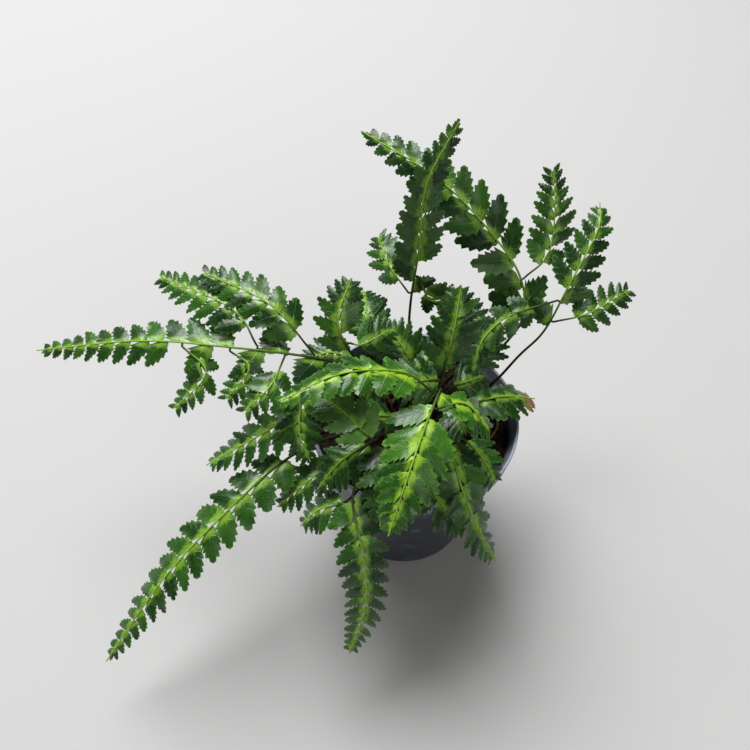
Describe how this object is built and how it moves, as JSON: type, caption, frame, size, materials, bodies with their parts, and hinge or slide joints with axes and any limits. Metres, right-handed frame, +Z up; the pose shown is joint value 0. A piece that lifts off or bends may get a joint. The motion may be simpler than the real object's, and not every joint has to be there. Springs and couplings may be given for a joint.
{
  "type": "potted variegated holly fern",
  "caption": "Arching, toothed green fern fronds with a yellow-green middle band, growing from a crown in a round tapered plastic nursery pot.",
  "frame": {"origin": "centre of the pot's flat base, on the surface that it stands on", "axes": "+Z up along the pot's axis, +X to the right and -Y towards the front, where the short fronds hang over the rim; the longest frond reaches along -X"},
  "size_m": [0.2512, 0.177, 0.2024],
  "materials": {
    "pot_plastic": "satin, dusty",
    "compost": "matt, crumbly",
    "crown": "matt, scaly",
    "dead_stem": "matt, dry",
    "frond_green": "semi-gloss, leathery",
    "frond_young": "semi-gloss, leathery"
  },
  "bodies": {
    "root": {"pot": "pot_plastic", "compost": "compost", "crown": "crown", "dead_stem": "dead_stem", "frond_back_sweeping": "frond_green", "frond_right": "frond_green", "frond_back_upright": "frond_green", "frond_left_long": "frond_green", "frond_left_inner": "frond_green", "frond_front_bright": "frond_young", "frond_front_left_long": "frond_green", "frond_left_low": "frond_green", "frond_front_hanging": "frond_green", "frond_front_short": "frond_green", "frond_front_curled": "frond_green", "frond_front_right": "frond_green", "frond_right_faded": "frond_green", "frond_centre_upright": "frond_green", "frond_left_drooping": "frond_green", "frond_turned_over": "frond_green", "frond_front_left_small": "frond_green", "frond_centre_back": "frond_green", "frond_back_low": "frond_green", "frond_back_left": "frond_green", "frond_centre_left": "frond_green", "frond_centre_low": "frond_green", "frond_back_right": "frond_green", "frond_front_left_low": "frond_green", "frond_left_under": "frond_green", "frond_right_low": "frond_green", "frond_right_lowest": "frond_green", "frond_centre_lowest": "frond_green", "frond_left_lowest": "frond_green", "frond_front_lowest": "frond_green", "frond_centre_top": "frond_green", "frond_right_inner": "frond_green", "frond_back_inner": "frond_green"}
  },
  "joints": []
}
